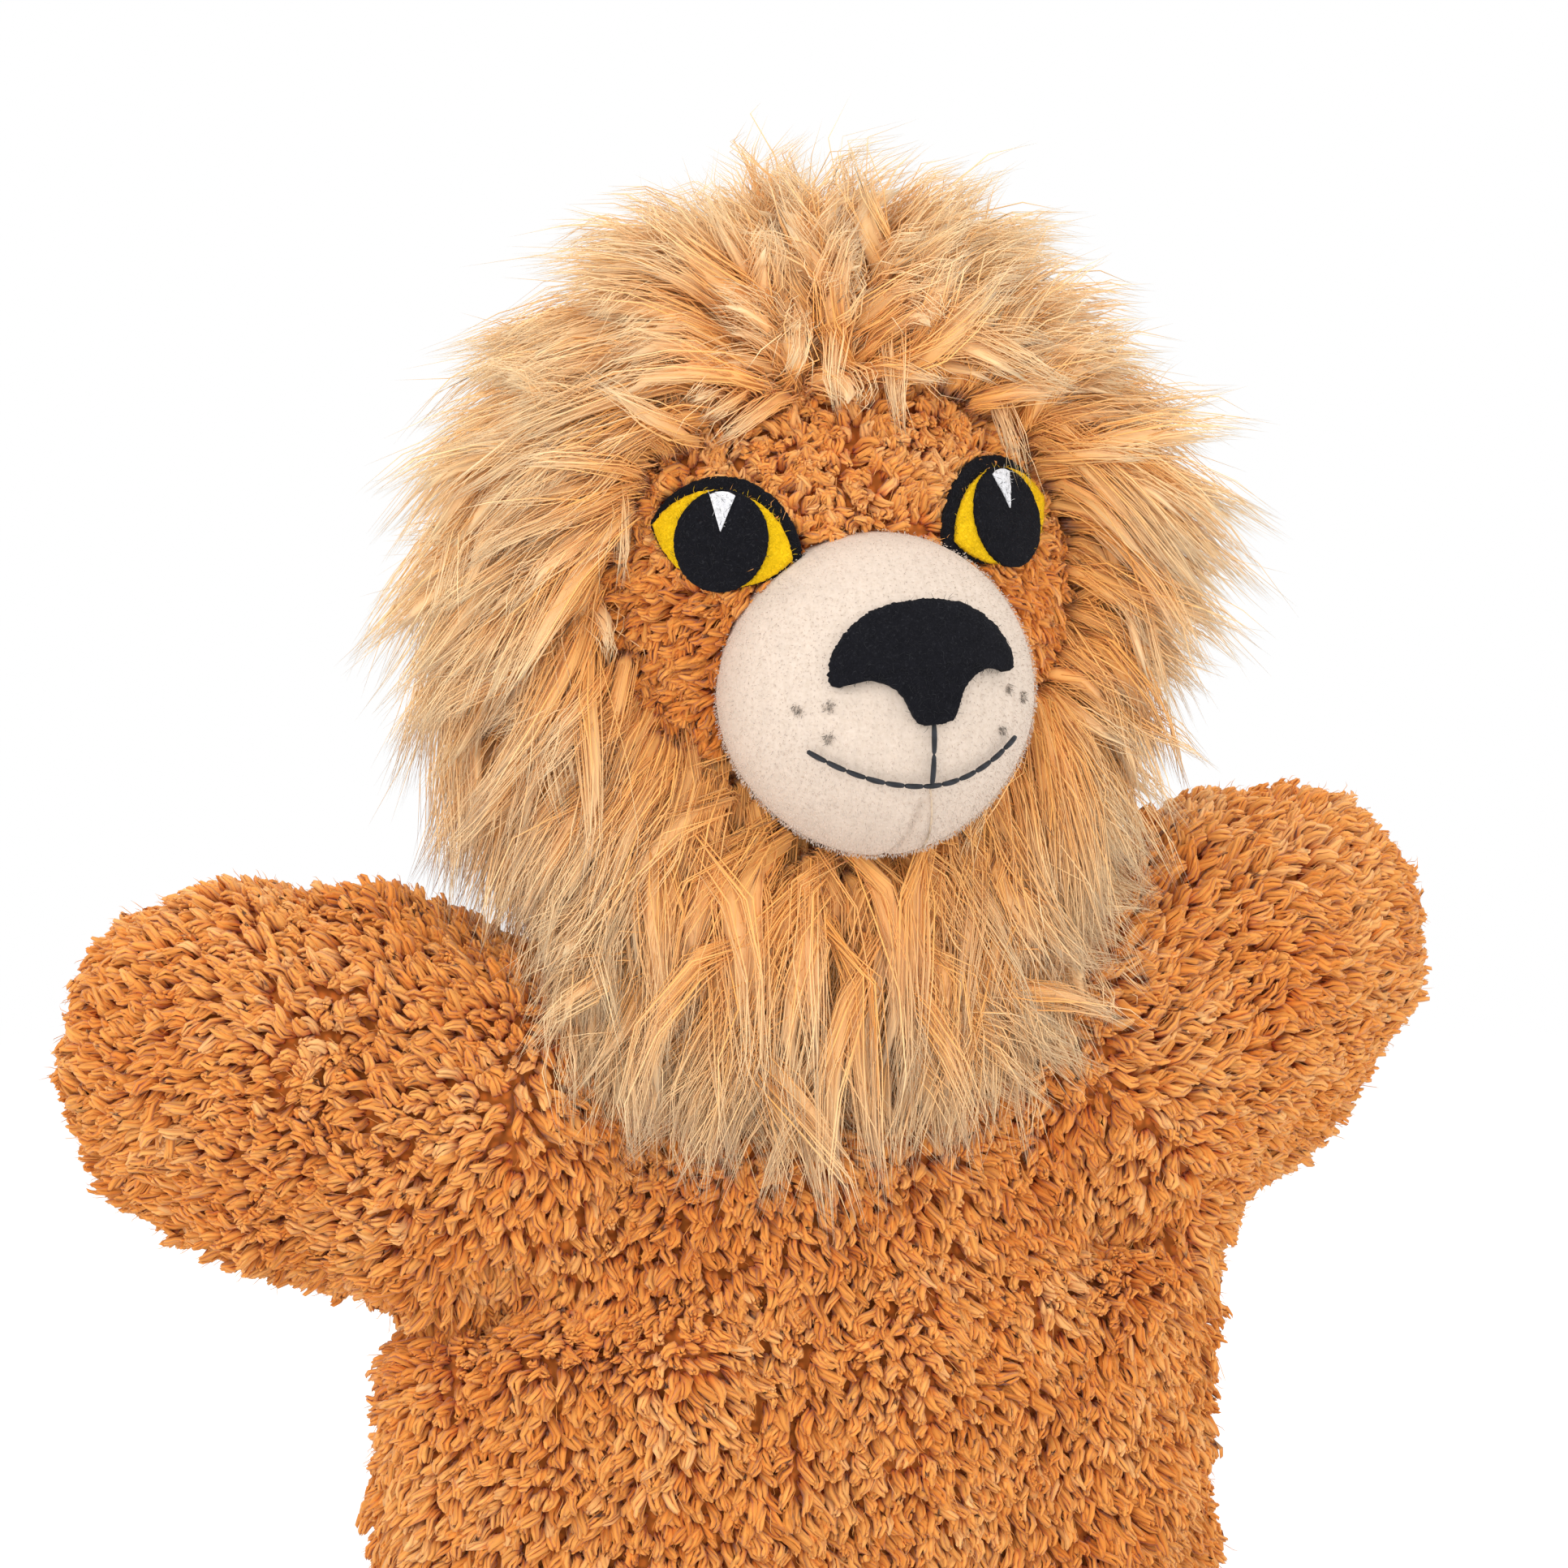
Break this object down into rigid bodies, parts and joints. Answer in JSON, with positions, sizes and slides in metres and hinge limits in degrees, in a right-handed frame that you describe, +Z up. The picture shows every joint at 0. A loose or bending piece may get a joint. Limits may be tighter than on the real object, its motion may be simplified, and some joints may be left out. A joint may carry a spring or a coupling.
{
  "type": "hand puppet",
  "caption": "Lion hand puppet: a pile-fabric glove body with two arms, a stuffed head with felt eyes and nose, a velour muzzle and a long mane.",
  "frame": {"origin": "middle of the hand opening, on the plane of the hem that the puppet stands on, and on the axis of the finger tube", "axes": "+Z up, along the finger tube to the crown of the head; the face looks along -Y; +X is the puppet's own left"},
  "size_m": [0.2625, 0.1269, 0.302],
  "materials": {
    "tan_pile": "matte",
    "mane_pile": "matte",
    "cream_velour": "matte",
    "black_felt": "matte",
    "yellow_felt": "matte",
    "white_felt": "matte",
    "black_thread": "satin",
    "tan_thread": "satin",
    "knit_backing": "matte",
    "stuffing": "matte",
    "card_tube": "matte"
  },
  "bodies": {
    "torso": {"torso_front_panel": "tan_pile", "torso_back_panel": "tan_pile", "hem_turning": "knit_backing", "hem_stitching": "tan_thread", "right_side_seam": "knit_backing", "left_side_seam": "knit_backing", "right_shoulder_seam": "knit_backing", "left_shoulder_seam": "knit_backing"},
    "neck_seam": {"neck_seam": "knit_backing"},
    "neck_sleeve": {"neck_sleeve": "knit_backing"},
    "head": {"finger_tube": "card_tube", "finger_tube_cap": "card_tube", "head_stuffing": "stuffing", "face_panel": "tan_pile", "head_back_panel": "tan_pile", "neck_collar": "knit_backing", "neck_tie": "tan_thread", "muzzle_stuffing": "stuffing", "muzzle_cover_right": "cream_velour", "muzzle_cover_left": "cream_velour", "nose_felt": "black_felt", "philtrum_thread": "black_thread", "mouth_thread": "black_thread", "right_eye_liner": "black_felt", "right_eye_iris": "yellow_felt", "right_eye_pupil": "black_felt", "right_eye_glint": "white_felt", "left_eye_liner": "black_felt", "left_eye_iris": "yellow_felt", "left_eye_pupil": "black_felt", "left_eye_glint": "white_felt", "mane_crown": "mane_pile", "mane_right": "mane_pile", "mane_left": "mane_pile", "mane_back": "mane_pile", "mane_bib": "mane_pile"},
    "right_armhole": {"right_armhole_seam": "knit_backing"},
    "right_arm": {"right_sleeve_front": "tan_pile", "right_sleeve_back": "tan_pile", "right_sleeve_seam": "knit_backing"},
    "left_armhole": {"left_armhole_seam": "knit_backing"},
    "left_arm": {"left_sleeve_front": "tan_pile", "left_sleeve_back": "tan_pile", "left_sleeve_seam": "knit_backing"}
  },
  "joints": [
    {"name": "head_turn", "type": "hinge", "parent": "torso", "child": "neck_seam", "pos_m": [0, 0, 0.15], "axis": [0, 0, 1], "range_deg": [-30, 30], "deforming": ["mane_bib"]},
    {"name": "head_nod", "type": "hinge", "parent": "neck_seam", "child": "neck_sleeve", "pos_m": [0, 0, 0.15], "axis": [1, 0, 0], "range_deg": [-15, 20]},
    {"name": "head_tilt", "type": "hinge", "parent": "neck_sleeve", "child": "head", "pos_m": [0, 0, 0.15], "axis": [0, 1, 0], "range_deg": [-12, 12]},
    {"name": "right_arm_swing", "type": "hinge", "parent": "torso", "child": "right_armhole", "pos_m": [-0.052, 0, 0.118], "axis": [0, 0, 1], "range_deg": [-10, 45]},
    {"name": "right_arm_lift", "type": "hinge", "parent": "right_armhole", "child": "right_arm", "pos_m": [-0.052, 0, 0.118], "axis": [0.2756, 0.9613, 0], "range_deg": [-18, 20]},
    {"name": "left_arm_swing", "type": "hinge", "parent": "torso", "child": "left_armhole", "pos_m": [0.052, 0, 0.118], "axis": [0, 0, -1], "range_deg": [-10, 45]},
    {"name": "left_arm_lift", "type": "hinge", "parent": "left_armhole", "child": "left_arm", "pos_m": [0.052, 0, 0.118], "axis": [-0.2756, 0.9613, 0], "range_deg": [-14, 24]}
  ]
}
